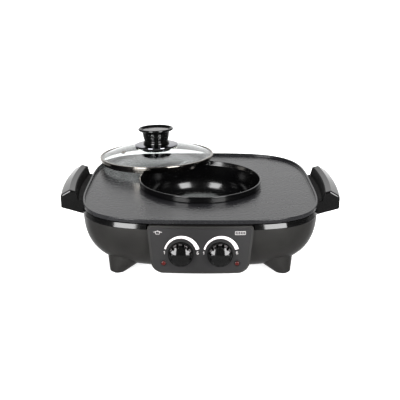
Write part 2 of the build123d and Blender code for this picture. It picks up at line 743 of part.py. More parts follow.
# Dials, their shafts, lamps and thermostats, one of each on either side
side_pieces = {}
for name, dial_x, lamp_place in (("pot", -dial_spacing / 2, -lamp_x), ("grill", dial_spacing / 2, lamp_x)):
    with BuildPart() as dial:
        with BuildSketch(across_panel(dial_x)):
            with BuildLine():
                back_line = Polyline(
                    (0, dial_back), (dial_radius, dial_back), (dial_radius, dial_back + dial_skirt),
                    (dial_waist_radius, dial_back + dial_skirt), (dial_front_radius, dial_shoulder))
                front_line = RadiusArc(back_line @ 1, (0, dial_depth), -dial_dome_radius)
                Line(front_line @ 1, back_line @ 0)
            make_face()
        revolve(axis=Axis(panel.from_local_coords((dial_x, 0, 0)), panel.z_dir))
        with BuildSketch(on_panel(dial_x, 0, dial_back + dial_skirt)):
            with PolarLocations(dial_flute_reach + dial_radius / 2, dial_flute_count, start_angle=dial_flute_angle):
                SlotOverall(dial_radius, dial_flute_width)
        extrude(amount=dial_depth, mode=Mode.SUBTRACT)
        with BuildSketch(on_panel(dial_x, 0, dial_depth)):
            with PolarLocations(dial_pointer_reach, 1, start_angle=dial_off_angle):
                SlotOverall(dial_pointer_length, dial_pointer_width)
        extrude(amount=-dial_pointer_cut, mode=Mode.SUBTRACT)
        with BuildSketch(on_panel(dial_x, 0, dial_back)):
            Circle(dial_hollow_radius)
            Circle(dial_hub_radius, mode=Mode.SUBTRACT)
        extrude(amount=dial_hollow_depth, mode=Mode.SUBTRACT)
        with BuildSketch(on_panel(dial_x, 0, dial_back)):
            Circle(shaft_radius)
        extrude(amount=shaft_reach - dial_back, mode=Mode.SUBTRACT)
    side_pieces["dial_" + name] = dial.part

    with BuildPart() as shaft:
        with BuildSketch(on_panel(dial_x, 0, -shaft_end)):
            Circle(shaft_radius)
        extrude(amount=shaft_end + shaft_reach)
        with BuildSketch(on_panel(dial_x, 0, shaft_reach)):
            with Locations((0, shaft_radius)):
                Rectangle(2 * shaft_radius, 2 * shaft_flat)
        extrude(amount=-shaft_reach + dial_back, mode=Mode.SUBTRACT)
    side_pieces["shaft_" + name] = shaft.part

    with BuildPart() as lens:
        with BuildSketch(on_panel(lamp_place, -lamp_down, -lamp_body_length)):
            Circle(lamp_radius)
        extrude(amount=lamp_body_length - panel_sag(lamp_place) + lamp_proud)
        fillet(lens.faces().sort_by(Axis.Y)[0].edges(), lamp_round)
    side_pieces["lamp_" + name] = lens.part

    with BuildPart() as lamp_bezel:
        with BuildSketch(on_panel(lamp_place, -lamp_down, -panel_sag(lamp_place) - lamp_seat)):
            Circle(lamp_bezel_radius)
            Circle(lamp_radius, mode=Mode.SUBTRACT)
        extrude(amount=lamp_seat + lamp_bezel_proud)
    side_pieces["lamp_bezel_" + name] = lamp_bezel.part

    with BuildPart() as thermostat:
        with BuildSketch(on_panel(dial_x, 0, -bracket_back - bracket_thickness)):
            RectangleRounded(thermostat_width, thermostat_height, thermostat_corner)
        extrude(amount=-thermostat_depth)
        with BuildSketch(on_panel(dial_x, 0, -bracket_back - bracket_thickness)):
            Circle(thermostat_collar_radius)
        extrude(amount=thermostat_collar_length)
        with BuildSketch(on_panel(dial_x, 0, -bracket_back - bracket_thickness - thermostat_depth)):
            with GridLocations(thermostat_width / 2, 0, 2, 1):
                Rectangle(thermostat_tab_thickness, thermostat_tab_width)
        extrude(amount=-thermostat_tab_length)
        with BuildSketch(on_panel(dial_x, 0, -shaft_end - fit_gap)):
            Circle(shaft_radius + run_gap)
        extrude(amount=shaft_end, mode=Mode.SUBTRACT)
    side_pieces["thermostat_" + name] = thermostat.part

# Steel bracket that carries both thermostats on the fascia's bosses
with BuildPart() as thermostat_bracket:
    with BuildSketch(on_panel(0, 0, -bracket_back)):
        RectangleRounded(2 * bracket_half_width, 2 * bracket_half_height, bracket_corner)
        with Locations((-dial_spacing / 2, 0), (dial_spacing / 2, 0)):
            Circle(thermostat_collar_radius, mode=Mode.SUBTRACT)
        with GridLocations(2 * boss_x, 2 * boss_up, 2, 2):
            Circle(bracket_screw_radius, mode=Mode.SUBTRACT)
    extrude(amount=-bracket_thickness)

with BuildPart() as bracket_screws:
    with BuildSketch(on_panel(0, 0, -bracket_back - bracket_thickness)):
        with GridLocations(2 * boss_x, 2 * boss_up, 2, 2):
            Circle(bracket_screw_radius)
    extrude(amount=bracket_thickness + bracket_screw_bite)
    with BuildSketch(on_panel(0, 0, -bracket_back - bracket_thickness)):
        with GridLocations(2 * boss_x, 2 * boss_up, 2, 2):
            Circle(bracket_screw_head_radius)
    extrude(amount=-bracket_screw_head_height)

# Pot with a collar that hangs on the plate
with BuildPart() as pot:
    with BuildSketch(Plane((0, body_y + pot_y, 0), x_dir=(1, 0, 0), z_dir=(0, -1, 0))) as pot_section:
        with BuildLine():
            base_line = Line((0, pot_bottom), (pot_radius - pot_corner, pot_bottom))
            turn_up = TangentArc(base_line @ 1, (pot_radius, pot_bottom + pot_corner), tangent=(1, 0))
            wall_line = Polyline(
                turn_up @ 1, (pot_radius, pot_seat),
                (pot_collar_radius, pot_seat), (pot_collar_radius, pot_top - pot_bead),
                (pot_rim_radius, pot_top - pot_bead), (pot_rim_radius, pot_top),
                (pot_mouth_radius, pot_top), (pot_inner_radius, pot_top - pot_flare_depth),
                (pot_inner_radius, pot_floor + pot_inner_corner))
            turn_in = TangentArc(wall_line @ 1, (pot_inner_radius - pot_inner_corner, pot_floor), tangent=(0, -1))
            Polyline(turn_in @ 1, (0, pot_floor), base_line @ 0)
        make_face()
        fillet(pot_section.vertices().group_by(Axis.Y)[-1], pot_bead_round)
    revolve(axis=upright(0, pot_y))

# Lid: glass dome held in a folded steel band
with BuildPart() as lid_glass:
    with BuildSketch(lid_upright):
        with BuildLine():
            dome_top = RadiusArc((0, glass_top), (glass_dome_edge, lid_ring_height), glass_radius)
            rim_line = Polyline(
                dome_top @ 1, (glass_edge_radius, lid_ring_height), (glass_edge_radius, glass_foot),
                (glass_dome_edge, glass_foot))
            dome_under = RadiusArc(rim_line @ 1, (0, glass_top - glass_thickness), -glass_radius)
            Line(dome_under @ 1, dome_top @ 0)
        make_face()
    revolve(axis=lid_axis)
    with BuildSketch(lid_level(0)):
        Circle(knob_screw_radius + hole_gap)
    extrude(amount=glass_top + overrun, mode=Mode.SUBTRACT)
    with BuildSketch(vent_plane):
        Circle(vent_neck_radius)
    extrude(amount=overrun, both=True, mode=Mode.SUBTRACT)

with BuildPart() as lid_ring:
    with BuildSketch(lid_upright):
        with BuildLine():
            Polyline(
                (lid_edge_radius - lid_sheet, 0), (lid_edge_radius, 0), (lid_neck_radius, lid_neck_height),
                (lid_band_radius - lid_band_round, lid_band_foot),
                (lid_band_radius, lid_band_foot + lid_band_round),
                (lid_band_radius, lid_band_top - lid_band_round),
                (lid_band_radius - lid_band_round, lid_band_top),
                (glass_edge_radius - lid_flange, lid_band_top),
                (glass_edge_radius - lid_flange, lid_ring_height),
                (glass_edge_radius, lid_ring_height), (glass_edge_radius, glass_foot),
                (lid_neck_radius - lid_sheet, glass_foot), close=True)
        make_face()
    revolve(axis=lid_axis)

with BuildPart() as lid_vent:
    with BuildSketch(vent_plane):
        Circle(vent_radius)
    extrude(amount=vent_flange_height)
    fillet(lid_vent.edges().filter_by(GeomType.CIRCLE).sort_by(Axis.Z)[-1], vent_flange_height / 2)
    with BuildSketch(vent_plane):
        Circle(vent_neck_radius)
    extrude(amount=-glass_thickness - vent_flange_height)
    with BuildSketch(vent_plane):
        Circle(vent_hole_radius)
    extrude(amount=glass_thickness + overrun, both=True, mode=Mode.SUBTRACT)

crown_under = crown_height - escutcheon_sheet
with BuildPart() as lid_escutcheon:
    with BuildSketch(lid_upright):
        with BuildLine():
            crown = Line((0, crown_height), (escutcheon_crown_radius, crown_height))
            slope = Spline(crown @ 1, (escutcheon_mid_radius, crown_height - escutcheon_mid_drop),
                           (escutcheon_radius, crown_height - escutcheon_edge_drop),
                           tangents=((1, 0), (1, -1)))
            foot_line = Polyline(slope @ 1, (escutcheon_radius, escutcheon_foot),
                                 (escutcheon_radius - escutcheon_sheet, escutcheon_foot),
                                 (escutcheon_radius - escutcheon_sheet, crown_under - escutcheon_edge_drop))
            under = Spline(
                foot_line @ 1, (escutcheon_mid_radius, crown_under - escutcheon_mid_drop),
                (escutcheon_crown_radius, crown_under), tangents=((-1, 1), (-1, 0)))
            Polyline(under @ 1, (0, crown_under), crown @ 0)
        make_face()
    revolve(axis=lid_axis)
    with BuildSketch(lid_level(0)):
        Circle(knob_screw_radius + hole_gap)
    extrude(amount=crown_height + overrun, mode=Mode.SUBTRACT)
    add(lid_glass.part, mode=Mode.SUBTRACT)

with BuildPart() as lid_knob:
    with BuildSketch(lid_upright):
        with BuildLine():
            side_line = Spline(
                (knob_base_radius, crown_height),
                (knob_bulge_radius, crown_height + knob_bulge_height),
                (knob_waist_radius, crown_height + knob_waist_height),
                (knob_neck_radius, crown_height + knob_neck_height),
                (knob_flare_radius, crown_height + knob_flare_height),
                (knob_under_radius, crown_height + knob_under_height))
            top_line = Polyline(
                side_line @ 1, (knob_dish_radius, crown_height + knob_dish_height - knob_dish_edge),
                (knob_dish_radius, crown_height + knob_dish_height),
                (knob_dish_radius - knob_dish_wall, crown_height + knob_dish_height),
                (insert_radius, crown_height + knob_dish_height - knob_dish_depth),
                (0, crown_height + knob_dish_height - knob_dish_depth))
            Polyline(top_line @ 1, (0, crown_height), side_line @ 0)
        make_face()
    revolve(axis=lid_axis)
    with BuildSketch(lid_level(crown_height)):
        Circle(knob_screw_radius)
    extrude(amount=knob_screw_reach, mode=Mode.SUBTRACT)

with BuildPart() as lid_knob_insert:
    with BuildSketch(lid_level(crown_height + knob_dish_height - knob_dish_depth)):
        Circle(insert_radius)
    extrude(amount=insert_thickness)

with BuildPart() as lid_washer:
    with BuildSketch(lid_level(washer_foot)):
        Circle(lid_washer_radius)
        Circle(knob_screw_radius + hole_gap, mode=Mode.SUBTRACT)
    extrude(amount=lid_washer_thickness)

with BuildPart() as lid_knob_screw:
    with BuildSketch(lid_level(washer_foot)):
        Circle(knob_screw_radius)
    extrude(amount=crown_height - washer_foot + knob_screw_reach)
    with BuildSketch(lid_level(washer_foot)):
        Circle(knob_screw_head_radius)
    extrude(amount=-knob_screw_head_height)

# Grill heating loop, with both ends turned down through bushes in the reflector
with BuildPart() as grill_element:
    with BuildLine() as loop_path:
        loop = FilletPolyline(
            (-loop_end_x, body_y - loop_half_y, loop_height),
            (-loop_half_x, body_y - loop_half_y, loop_height),
            (-loop_half_x, body_y + loop_half_y, loop_height),
            (loop_half_x, body_y + loop_half_y, loop_height),
            (loop_half_x, body_y - loop_half_y, loop_height),
            (loop_end_x, body_y - loop_half_y, loop_height), radius=loop_corner)
        for start, way in ((loop @ 0, 1), (loop @ 1, -1)):
            turn = TangentArc(start, start + Vector(way * leg_turn, 0, -leg_turn), tangent=(way, 0, 0))
            Line(turn @ 1, (turn @ 1) - Vector(0, 0, leg_drop))
    path = loop_path.wires()[0]
    with BuildSketch(Plane(path @ 0, z_dir=path % 0)):
        Circle(tube_radius)
    sweep(path=path)

with BuildPart() as element_bushes:
    with BuildSketch(level(reflector_floor + bush_rise)):
        with Locations((-leg_x, -loop_half_y), (leg_x, -loop_half_y)):
            Circle(bush_radius)
            Circle(tube_radius, mode=Mode.SUBTRACT)
    extrude(amount=-bush_length)

with BuildPart() as element_supports:
    with BuildSketch(level(reflector_floor)):
        with GridLocations(2 * loop_half_x, 2 * support_y, 2, 2):
            Rectangle(support_width, support_wall)
    extrude(amount=loop_height - reflector_floor)
    add(grill_element.part, mode=Mode.SUBTRACT)

with BuildPart() as grill_reflector:
    extrude(plan_sketch(reflector_floor - reflector_sheet, reflector_inset), amount=reflector_depth)
    extrude(plan_sketch(ledge_bottom - reflector_sheet, reflector_flange_inset), amount=reflector_sheet)
    extrude(plan_sketch(reflector_floor, reflector_inset + reflector_sheet), amount=reflector_depth,
            mode=Mode.SUBTRACT)
    with BuildSketch(level(reflector_floor - reflector_sheet, 0, pot_y)):
        Circle(pot_radius + reflector_hole_gap + reflector_sheet)
    extrude(amount=reflector_rim)
    with BuildSketch(level(reflector_floor - reflector_sheet, 0, pot_y)):
        Circle(pot_radius + reflector_hole_gap)
    extrude(amount=reflector_rim, mode=Mode.SUBTRACT)
    with BuildSketch(level(reflector_floor - reflector_sheet)):
        with Locations((-leg_x, -loop_half_y), (leg_x, -loop_half_y)):
            Circle(bush_radius)
    extrude(amount=reflector_depth, mode=Mode.SUBTRACT)

# Pot heater: a ring on a pan, held over the cover on standoffs, with a sensor button in the middle
with BuildPart() as pot_element:
    with BuildLine() as ring_path:
        ring = CenterArc((0, body_y + pot_y, ring_height), ring_radius,
                         270 + ring_gap_angle / 2, 360 - ring_gap_angle)
        for start, way in ((ring @ 0, (ring % 0) * -1), (ring @ 1, ring % 1)):
            turn = TangentArc(start, start + way * ring_leg_turn - Vector(0, 0, ring_leg_turn), tangent=way)
            Line(turn @ 1, (turn @ 1) - Vector(0, 0, ring_leg_drop))
    path = ring_path.wires()[0]
    with BuildSketch(Plane(path @ 0, z_dir=path % 0)):
        Circle(tube_radius)
    sweep(path=path)
ring_ends = [path @ 0, path @ 1]

with BuildPart() as pot_reflector:
    with BuildSketch(level(pan_floor - pan_sheet, 0, pot_y)):
        Circle(pan_radius)
    extrude(amount=pan_depth)
    fillet(pot_reflector.edges().group_by(Axis.Z)[0], pan_round)
    with BuildSketch(level(pan_floor, 0, pot_y)):
        Circle(pan_radius - pan_sheet)
    extrude(amount=pan_depth, mode=Mode.SUBTRACT)
    with BuildSketch(level(pan_floor - pan_sheet)):
        with Locations(*[(end.X, end.Y - body_y) for end in ring_ends]):
            Circle(tube_radius)
        with Locations((0, pot_y)):
            Circle(sensor_stem_radius)
    extrude(amount=pan_sheet, mode=Mode.SUBTRACT)

with BuildPart() as pan_standoffs:
    with BuildSketch(level(bowl_bottom, 0, pot_y)):
        with PolarLocations(standoff_spot_radius, standoff_count, start_angle=90):
            Circle(standoff_radius)
    extrude(amount=pan_floor - pan_sheet - bowl_bottom)

with BuildPart() as pot_sensor:
    with BuildSketch(level(bowl_bottom, 0, pot_y)):
        Circle(sensor_stem_radius)
    extrude(amount=pot_bottom - rest_gap - bowl_bottom)
    with BuildSketch(level(pot_bottom - rest_gap, 0, pot_y)):
        Circle(sensor_radius)
    extrude(amount=-sensor_height)
    fillet(pot_sensor.edges().filter_by(GeomType.CIRCLE).group_by(Axis.Z)[-1], sensor_round)

# Mains entry in the back wall: a recessed socket with three pins
with BuildPart() as power_inlet:
    with BuildSketch(socket_plane):
        RectangleRounded(inlet_width + 2 * inlet_flange, inlet_tall + 2 * inlet_flange, inlet_round)
    extrude(amount=-inlet_flange_thickness)
    add(bowl_form.part, mode=Mode.SUBTRACT)
    with BuildSketch(socket_plane):
        Rectangle(inlet_width, inlet_tall)
    extrude(amount=-inlet_depth)
    with BuildSketch(socket_plane):
        Rectangle(inlet_width - 2 * inlet_wall, inlet_tall - 2 * inlet_wall)
    extrude(amount=-inlet_recess, mode=Mode.SUBTRACT)
    with BuildSketch(socket_plane):
        with Locations(*pin_spots):
            Circle(inlet_pin_radius)
    extrude(amount=-inlet_depth, mode=Mode.SUBTRACT)

with BuildPart() as inlet_pins:
    with BuildSketch(socket_plane.offset(-inlet_depth - inlet_pin_tail)):
        with Locations(*pin_spots):
            Circle(inlet_pin_radius)
    extrude(amount=inlet_depth + inlet_pin_tail - inlet_recess + inlet_pin_length)

with BuildPart() as terminal_block:
    with BuildSketch(level(bowl_bottom, 0, block_y)):
        Rectangle(block_width, block_depth)
    extrude(amount=block_height)
    fillet(terminal_block.edges().filter_by(Axis.Z), block_round)
    with BuildSketch(level(bowl_bottom + block_height, 0, block_y)):
        with GridLocations(block_width / block_screw_count, 0, block_screw_count, 1):
            Circle(block_screw_radius)
    extrude(amount=block_screw_height)

# Wires: from the socket to the block, round the pot to both thermostats, and on to both heaters
block_top = bowl_bottom + block_height
block_step = block_width / block_screw_count
pin_tail_y = inlet_flange_reach - inlet_depth - inlet_pin_tail
tab_depth = bracket_back + bracket_thickness + thermostat_depth + thermostat_tab_length
tab_place = panel.from_local_coords((dial_spacing / 2, 0, -tab_depth))
tab_y = tab_place.Y - body_y
wire_start_x = inlet_x - inlet_pin_spread
wire_start_z = inlet_height - inlet_pin_rise
wire_runs = [
    [(wire_start_x, pin_tail_y, wire_start_z), (wire_start_x, pin_tail_y - wire_gap, wire_start_z),
     (block_step, block_y, wire_start_z - wire_gap), (block_step, block_y, block_top + block_screw_height)],
]
for side in (-1, 1):
    outer_tab = side * (dial_spacing / 2 + thermostat_width / 4)
    inner_tab = side * (dial_spacing / 2 - thermostat_width / 4)
    wire_runs.append([
        (side * block_width / 2, block_y, block_top - wire_gap),
        (side * block_width, block_y, block_top - wire_gap),
        (side * wire_out, wire_turn_y, wire_level), (side * wire_out, tab_y / 2, wire_level),
        (outer_tab, tab_y + 2 * wire_gap, tab_place.Z), (outer_tab, tab_y + fit_gap, tab_place.Z)])
    wire_runs.append([
        (inner_tab, tab_y + fit_gap, tab_place.Z), (inner_tab, tab_y + wire_gap, tab_place.Z),
        (side * leg_x, -loop_half_y, tab_place.Z + wire_gap),
        (side * leg_x, -loop_half_y, loop_height - leg_turn - leg_drop)])
with BuildPart() as wiring:
    for run in wire_runs:
        with BuildLine() as wire_line:
            FilletPolyline(*[(x, body_y + y, z) for x, y, z in run], radius=wire_bend)
        wire = wire_line.wires()[0]
        with BuildSketch(Plane(wire @ 0, z_dir=wire % 0)):
            Circle(wire_radius)
        sweep(path=wire)

pieces = {
    "grill_plate": grill_plate.part, "pot": pot.part,
    "lid_glass": lid_glass.part, "lid_ring": lid_ring.part, "lid_vent": lid_vent.part,
    "lid_escutcheon": lid_escutcheon.part, "lid_knob": lid_knob.part,
    "lid_knob_insert": lid_knob_insert.part,
    "lid_washer": lid_washer.part, "lid_knob_screw": lid_knob_screw.part,
    "upper_frame": upper_frame.part, "base_bowl": base_bowl.part,
    "bottom_cover": bottom_cover.part, "cover_screws": cover_screws.part,
    "handle_screws": handle_screws.part,
    "control_box": control_box.part, "control_fascia": control_fascia.part,
    "thermostat_bracket": thermostat_bracket.part, "bracket_screws": bracket_screws.part,
    "grill_element": grill_element.part, "element_bushes": element_bushes.part,
    "element_supports": element_supports.part, "grill_reflector": grill_reflector.part,
    "pot_element": pot_element.part, "pot_reflector": pot_reflector.part,
    "pan_standoffs": pan_standoffs.part, "pot_sensor": pot_sensor.part,
    "power_inlet": power_inlet.part, "inlet_pins": inlet_pins.part,
    "terminal_block": terminal_block.part, "wiring": wiring.part,
    **handles, **side_pieces, **feet, **pads,
}
os.makedirs("parts", exist_ok=True)
for name, piece in pieces.items():
    piece.label = name
    export_step(piece, "parts/" + name + ".step")
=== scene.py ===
from math import atan2, cos, pi, radians, sin, sqrt, tan
import bpy
import numpy as np
from mathutils import Matrix, Vector


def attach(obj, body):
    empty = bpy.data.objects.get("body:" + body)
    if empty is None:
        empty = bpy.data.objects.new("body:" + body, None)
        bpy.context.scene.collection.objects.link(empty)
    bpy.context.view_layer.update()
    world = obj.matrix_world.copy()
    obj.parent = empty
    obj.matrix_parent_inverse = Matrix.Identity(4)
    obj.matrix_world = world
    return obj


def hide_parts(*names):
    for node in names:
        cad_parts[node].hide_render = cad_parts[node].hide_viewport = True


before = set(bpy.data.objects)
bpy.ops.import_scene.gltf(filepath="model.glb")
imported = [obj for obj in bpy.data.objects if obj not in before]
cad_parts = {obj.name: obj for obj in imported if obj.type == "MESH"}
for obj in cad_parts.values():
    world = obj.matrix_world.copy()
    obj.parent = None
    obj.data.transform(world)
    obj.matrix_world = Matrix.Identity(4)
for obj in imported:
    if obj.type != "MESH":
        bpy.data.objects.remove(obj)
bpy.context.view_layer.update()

# Countertop hot pot and grill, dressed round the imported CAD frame. Lengths are in millimetres, as in
# the CAD source, until a piece is made. +X right, +Y away from the dials, +Z up.

mm = 0.001
body_y = -10.0          # middle of the body's plan
half_x = 200.0          # half sizes of the plan
half_y = 193.0
plan_power = 3.8        # its corners' squareness
lip_top = 106.0
surface_top = 101.0     # cooking face
pot_y = 6.0             # pot's centre behind the plan's middle
opening_radius = 106.6  # through the plate, for the pot


# Geometry
def plan_point(angle, inset):
    """Point of the body's rounded square plan, drawn in by inset."""
    wide = abs(cos(angle) / (half_x - inset)) ** plan_power
    deep = abs(sin(angle) / (half_y - inset)) ** plan_power
    reach = (wide + deep) ** (-1 / plan_power)
    return reach * cos(angle), body_y + reach * sin(angle)


longest_run = 1000.0
edge_hold = 0.12        # extra point beyond each round's end, as a share of its radius


def soften(corners, closed=False, steps=5):
    """Polyline through corners (a, b, radius), each rounded, with a point close to each round's ends."""
    points = []
    count = len(corners)
    for i, (a, b, radius) in enumerate(corners):
        if radius == 0 or (not closed and i in (0, count - 1)):
            points.append((a, b))
            continue
        here = Vector((a, b))
        back = Vector(corners[i - 1][:2]) - here
        on = Vector(corners[(i + 1) % count][:2]) - here
        half = back.angle(on) / 2
        back.normalize()
        on.normalize()
        run = min(radius / tan(half), longest_run)
        middle = here + (back + on).normalized() * (radius / sin(half))
        start = here + back * run
        end = here + on * run
        first = atan2(start.y - middle.y, start.x - middle.x)
        turn = atan2(end.y - middle.y, end.x - middle.x) - first
        turn = (turn + pi) % (2 * pi) - pi
        points.append(tuple(start + back * radius * edge_hold))
        for step in range(steps + 1):
            angle = first + turn * step / steps
            points.append((middle.x + radius * cos(angle), middle.y + radius * sin(angle)))
        points.append(tuple(end + on * radius * edge_hold))
    return points


def rings_mesh(rings, closed_profile=False, first_cap=False, last_cap=False):
    """Vertices and faces of a skin over rings of equally many points."""
    verts = [point for ring in rings for point in ring]
    count = len(rings[0])
    faces = []
    for i in range(len(rings) if closed_profile else len(rings) - 1):
        low = i * count
        high = ((i + 1) % len(rings)) * count
        for j in range(count):
            k = (j + 1) % count
            faces.append((low + j, low + k, high + k, high + j))
    if first_cap:
        faces.append(tuple(reversed(range(count))))
    if last_cap:
        faces.append(tuple(range(len(verts) - count, len(verts))))
    return verts, faces


tip_radius = 0.01       # stands for no radius, where a turned form meets its axis


def turned(profile, count, closed=False):
    """Rings of a body turned about the Z axis from points (radius, height)."""
    rings = []
    for radius, height in profile:
        radius = max(radius, tip_radius)
        rings.append([(radius * cos(2 * pi * j / count), radius * sin(2 * pi * j / count), height)
                      for j in range(count)])
    return rings_mesh(rings, closed_profile=closed)


def moved(verts, place):
    """Vertices carried by a matrix, in millimetres."""
    return [tuple(place @ Vector(v)) for v in verts]


def at(x, y, z):
    """Matrix that carries a piece to a place."""
    return Matrix.Translation((x, y, z))


def piece(name, form, material, body, *nodes, slot=None, sharp=32):
    """A mesh object in metres, riding on a body and standing for CAD nodes."""
    verts, faces = form
    mesh = bpy.data.meshes.new(name)
    mesh.from_pydata([(x * mm, y * mm, z * mm) for x, y, z in verts], [], faces)
    mesh.validate()
    mesh.update()
    for polygon in mesh.polygons:
        polygon.use_smooth = True
    mesh.set_sharp_from_angle(angle=radians(sharp))
    mesh.materials.append(material)
    made = bpy.data.objects.new(name, mesh)
    bpy.context.scene.collection.objects.link(made)
    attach(made, body)
    if nodes:
        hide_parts(*nodes)
    return made


# Materials
def linear(code):
    """Linear colour from an sRGB code such as #3b3a39."""
    parts = [int(code[i:i + 2], 16) / 255 for i in (1, 3, 5)]
    return (*((c / 12.92 if c <= 0.04045 else ((c + 0.055) / 1.055) ** 2.4) for c in parts), 1.0)


def add_node(tree, kind, inputs=(), **settings):
    """A node with its settings, and its inputs set to values or linked to sockets."""
    made = tree.nodes.new(kind)
    for key, value in settings.items():
        setattr(made, key, value)
    for key, value in dict(inputs).items():
        if isinstance(value, bpy.types.NodeSocket):
            tree.links.new(value, made.inputs[key])
        else:
            made.inputs[key].default_value = value
    return made


def new_material(name):
    """A material's tree, its Principled shader, and Object coordinates in millimetres."""
    made = bpy.data.materials.new(name)
    made.use_nodes = True
    tree = made.node_tree
    tree.nodes.clear()
    shader = add_node(tree, "ShaderNodeBsdfPrincipled")
    add_node(tree, "ShaderNodeOutputMaterial", {"Surface": shader.outputs["BSDF"]})
    coordinates = add_node(tree, "ShaderNodeTexCoord")
    scaled = add_node(tree, "ShaderNodeVectorMath", {0: coordinates.outputs["Object"], "Scale": 1000},
                      operation="SCALE")
    return made, tree, shader, scaled.outputs["Vector"]


def noise(tree, place, size, detail=2.0):
    """Noise with features about size millimetres across, from 0 to 1."""
    return add_node(tree, "ShaderNodeTexNoise", {
        "Vector": place, "Scale": 1 / size, "Detail": detail, "Roughness": 0.5}).outputs["Fac"]


def ramp(tree, value, low, high, start=0.3, end=0.7):
    """Value mapped from start..end to low..high."""
    return add_node(tree, "ShaderNodeMapRange", {
        "Value": value, "From Min": start, "From Max": end, "To Min": low, "To Max": high}).outputs["Result"]


def blend_colours(tree, share, first, second):
    """Mix of two sRGB codes by a share of the second."""
    made = add_node(tree, "ShaderNodeMix", {"Factor": share}, data_type="RGBA")
    made.inputs[6].default_value = linear(first)
    made.inputs[7].default_value = linear(second)
    return made.outputs[2]


def surface(name, dark, light, rough, rough_more, grain, relief, metal=0.0, patch=40.0, specular=0.5):
    """A finish whose colour and gloss vary in patches, with a grain that stands up by relief.

    Grain, relief and patch are sizes in millimetres.
    """
    made, tree, shader, place = new_material(name)
    patches = noise(tree, place, patch, 3.0)
    tree.links.new(blend_colours(tree, ramp(tree, patches, 0, 1), dark, light), shader.inputs["Base Color"])
    fine = noise(tree, place, grain, 2.0)
    tree.links.new(ramp(tree, patches, rough, rough_more), shader.inputs["Roughness"])
    raised = add_node(tree, "ShaderNodeBump", {"Height": fine, "Distance": relief * mm, "Strength": 1.0})
    tree.links.new(raised.outputs["Normal"], shader.inputs["Normal"])
    shader.inputs["Metallic"].default_value = metal
    shader.inputs["Specular IOR Level"].default_value = specular
    return made


# Satin charcoal paint on the bowl and feet
satin = surface("satin_charcoal", "#171615", "#1b1a18", 0.34, 0.42, 0.9, 0.012)
# Grey painted sheet of the control panel
panel_paint = surface("panel_grey_paint", "#131213", "#161516", 0.44, 0.5, 0.6, 0.010, specular=0.4)
# Glossy black moulded phenolic of the band, handles and dials
gloss = surface("gloss_black_moulding", "#070707", "#0a0a0a", 0.06, 0.11, 3.0, 0.006)
# Black non-stick enamel inside the pot
enamel = surface("pot_enamel", "#060607", "#090909", 0.12, 0.18, 1.6, 0.006)
# Polished stainless steel of the lid's band
steel = surface("polished_steel", "#8d8983", "#9a9690", 0.10, 0.16, 2.0, 0.003, metal=1.0)
# Chrome plated trim
chrome = surface("chrome_plate", "#84848a", "#8e8e94", 0.04, 0.07, 4.0, 0.002, metal=1.0)
# Heater sheath, dull oxidised steel
heater = surface("heater_sheath", "#5b5650", "#6b655d", 0.38, 0.5, 1.2, 0.02, metal=1.0, patch=18)
# Steatite ceramic bushes
ceramic = surface("steatite", "#d9d3c4", "#e3decf", 0.5, 0.6, 0.8, 0.02)
# Aluminised sheet of the heat shields
shield = surface("aluminised_sheet", "#8f9193", "#a2a4a6", 0.28, 0.4, 5.0, 0.02, metal=1.0, patch=25)
# Zinc plated pressed steel
zinc = surface("zinc_plate", "#a6a9a6", "#b6b7b0", 0.25, 0.38, 2.5, 0.01, metal=1.0, patch=15)
# Black oxide screws
black_screw = surface("black_oxide", "#151515", "#1d1d1d", 0.3, 0.42, 0.6, 0.02, metal=0.6, patch=3)
# Brown phenolic resin of the terminal block and sensor
phenolic = surface("phenolic_resin", "#2e1c12", "#3a2417", 0.4, 0.5, 0.5, 0.02, patch=8)
# Brass pins
brass = surface("brass", "#b08d4a", "#c09c58", 0.2, 0.3, 1.0, 0.01, metal=1.0, patch=6)
# Silicone wire jackets
jacket = surface("silicone_jacket", "#c9c2b4", "#d6d0c2", 0.5, 0.6, 0.7, 0.02, patch=12)
# Galvanised cover under the bowl
cover = surface("galvanised_cover", "#6d6f70", "#7d7f80", 0.35, 0.5, 3.0, 0.03, metal=1.0, patch=10)
# Rubber pads
rubber = surface("black_rubber", "#101010", "#161616", 0.7, 0.85, 0.4, 0.05, patch=6)
# Black silicone washer
silicone = surface("black_silicone", "#0d0d0d", "#131313", 0.5, 0.6, 0.4, 0.03, patch=6)
# Matt black plastic of the lamp bezels
matt_plastic = surface("matt_black_plastic", "#0a0a0a", "#101010", 0.28, 0.36, 0.5, 0.01, patch=5)
# Matt black with weak reflection inside the handles' grooves, painted shade where the bars face the body
groove_painted_shade = surface(
    "groove_shade_matt_black", "#050505", "#080808", 0.6, 0.7, 0.5, 0.01, patch=8, specular=0.12)

# Embossed non-stick coating of the plate
coating = surface("plate_coating", "#171719", "#1d1d1f", 0.21, 0.29, 0.7, 0.02)
# Brushed steel disc in the knob
disc_metal = surface("knob_disc_steel", "#5d5b5b", "#676565", 0.12, 0.2, 1.2, 0.004, metal=1.0, patch=9)
# White ink of the panel's wedges
print_ink = surface("white_panel_ink", "#cfc7c9", "#dad3d4", 0.5, 0.6, 0.5, 0.01, patch=6)
# Thinner grey ink of its numbers and drawings
fine_ink = surface("grey_panel_ink", "#b4b0b0", "#bcb8b8", 0.5, 0.6, 0.5, 0.01, patch=6)

# Clear tempered glass
glass, tree, shader, place = new_material("tempered_glass")
shader.inputs["Base Color"].default_value = linear("#d9dedd")
shader.inputs["Transmission Weight"].default_value = 1.0
shader.inputs["IOR"].default_value = 1.5
tree.links.new(ramp(tree, noise(tree, place, 60), 0.0, 0.02), shader.inputs["Roughness"])

# Red lens of the lamps
lens, tree, shader, place = new_material("red_lens")
mottle = blend_colours(tree, noise(tree, place, 1.5), "#2c0706", "#480e0b")
tree.links.new(mottle, shader.inputs["Base Color"])
shader.inputs["Roughness"].default_value = 0.08
shader.inputs["Coat Weight"].default_value = 0.5

